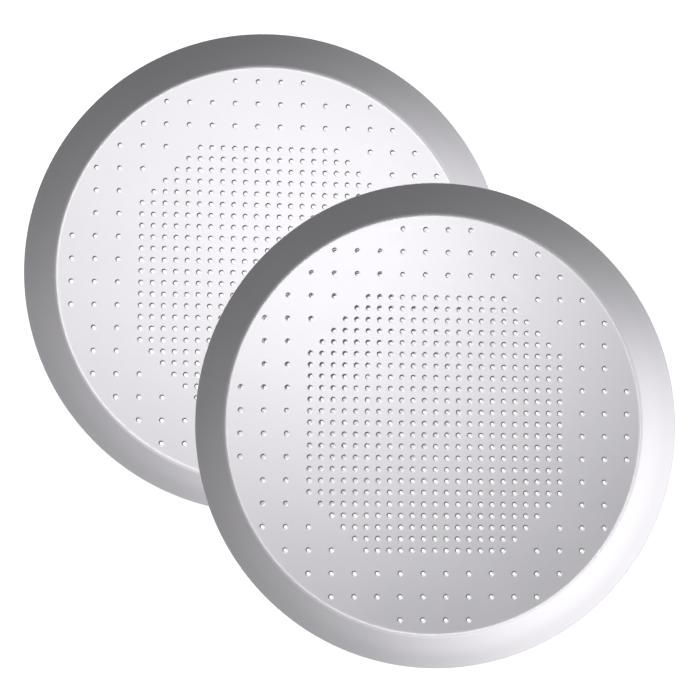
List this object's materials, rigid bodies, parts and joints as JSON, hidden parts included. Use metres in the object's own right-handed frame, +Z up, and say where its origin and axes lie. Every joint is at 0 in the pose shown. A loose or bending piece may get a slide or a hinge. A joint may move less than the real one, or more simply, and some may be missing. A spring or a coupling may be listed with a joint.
{
  "type": "pizza pan",
  "caption": "Round perforated pizza pans of pressed aluminium with sloping rims, one laid across the rim of the other; the holes let steam out under the dough.",
  "frame": {"origin": "on the ground, midway between the centres of the two pans", "axes": "+Z up, out of the dishes; +X along the rows of holes; the upper pan lies towards +X and -Y, the lower pan towards -X and +Y"},
  "size_m": [0.4129, 0.4002, 0.026],
  "materials": {
    "satin_aluminium": "satin, fine-grained, uncoated"
  },
  "bodies": {
    "lower_pan": {"lower_pan": "satin_aluminium"},
    "upper_pan": {"upper_pan": "satin_aluminium"}
  },
  "joints": [
    {"name": "upper_pan_lift", "type": "slide", "parent": "lower_pan", "child": "upper_pan", "axis": [0, 0, 1], "range_m": [0, 0.1]}
  ]
}
